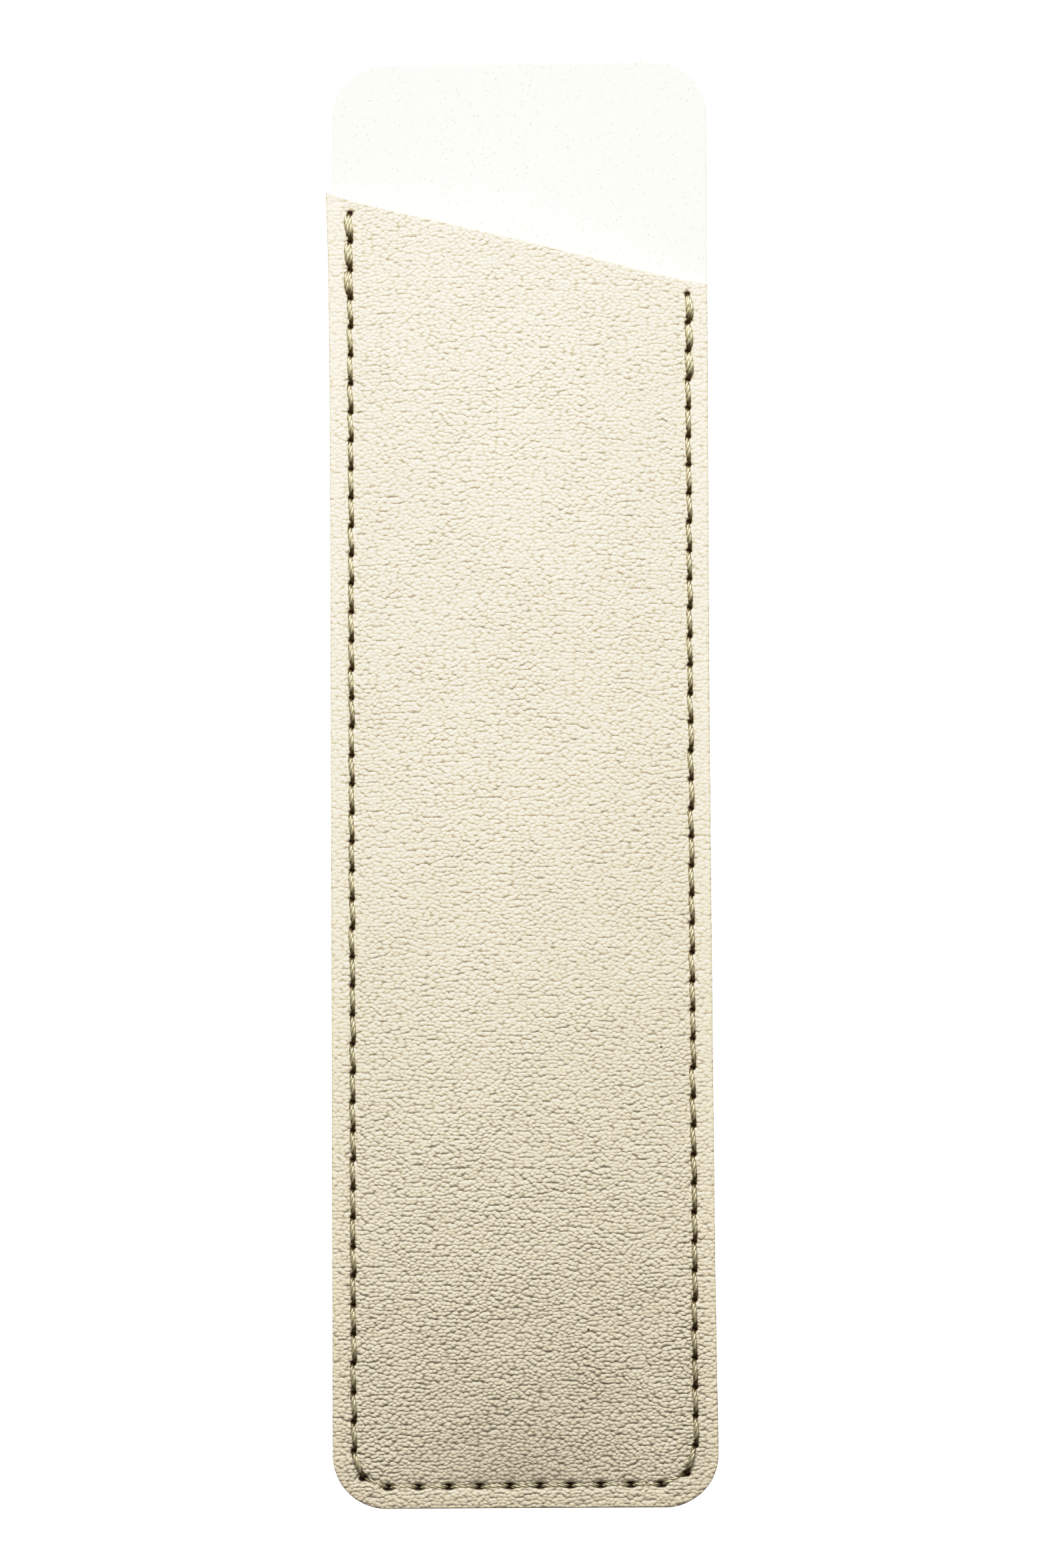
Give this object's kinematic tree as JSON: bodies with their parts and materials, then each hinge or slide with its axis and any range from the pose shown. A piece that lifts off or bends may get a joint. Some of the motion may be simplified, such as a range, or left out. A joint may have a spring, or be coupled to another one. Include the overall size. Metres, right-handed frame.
{
  "type": "single pen sleeve",
  "caption": "Flat slip-in sleeve for one pen: two lined leather panels lockstitched on three sides, with a slanted mouth and a tall rounded back flap.",
  "frame": {"origin": "middle of the back face, on the surface that the sleeve lies on", "axes": "+Y runs along the sleeve from the closed bottom to the mouth and the flap, +Z points out of the grained front, +X to the right as the front is seen with the mouth upwards"},
  "size_m": [0.04, 0.152, 0.0074],
  "materials": {
    "grained_leather": "cream, pebble grain, soft satin",
    "napped_lining": "off-white, napped, matte, with fine pores",
    "sewing_thread": "olive, glossy twisted filament"
  },
  "bodies": {
    "root": {"back_leather": "grained_leather", "back_lining": "napped_lining", "front_lining": "napped_lining", "front_leather": "grained_leather", "bobbin_thread": "sewing_thread", "needle_thread": "sewing_thread"}
  },
  "joints": []
}
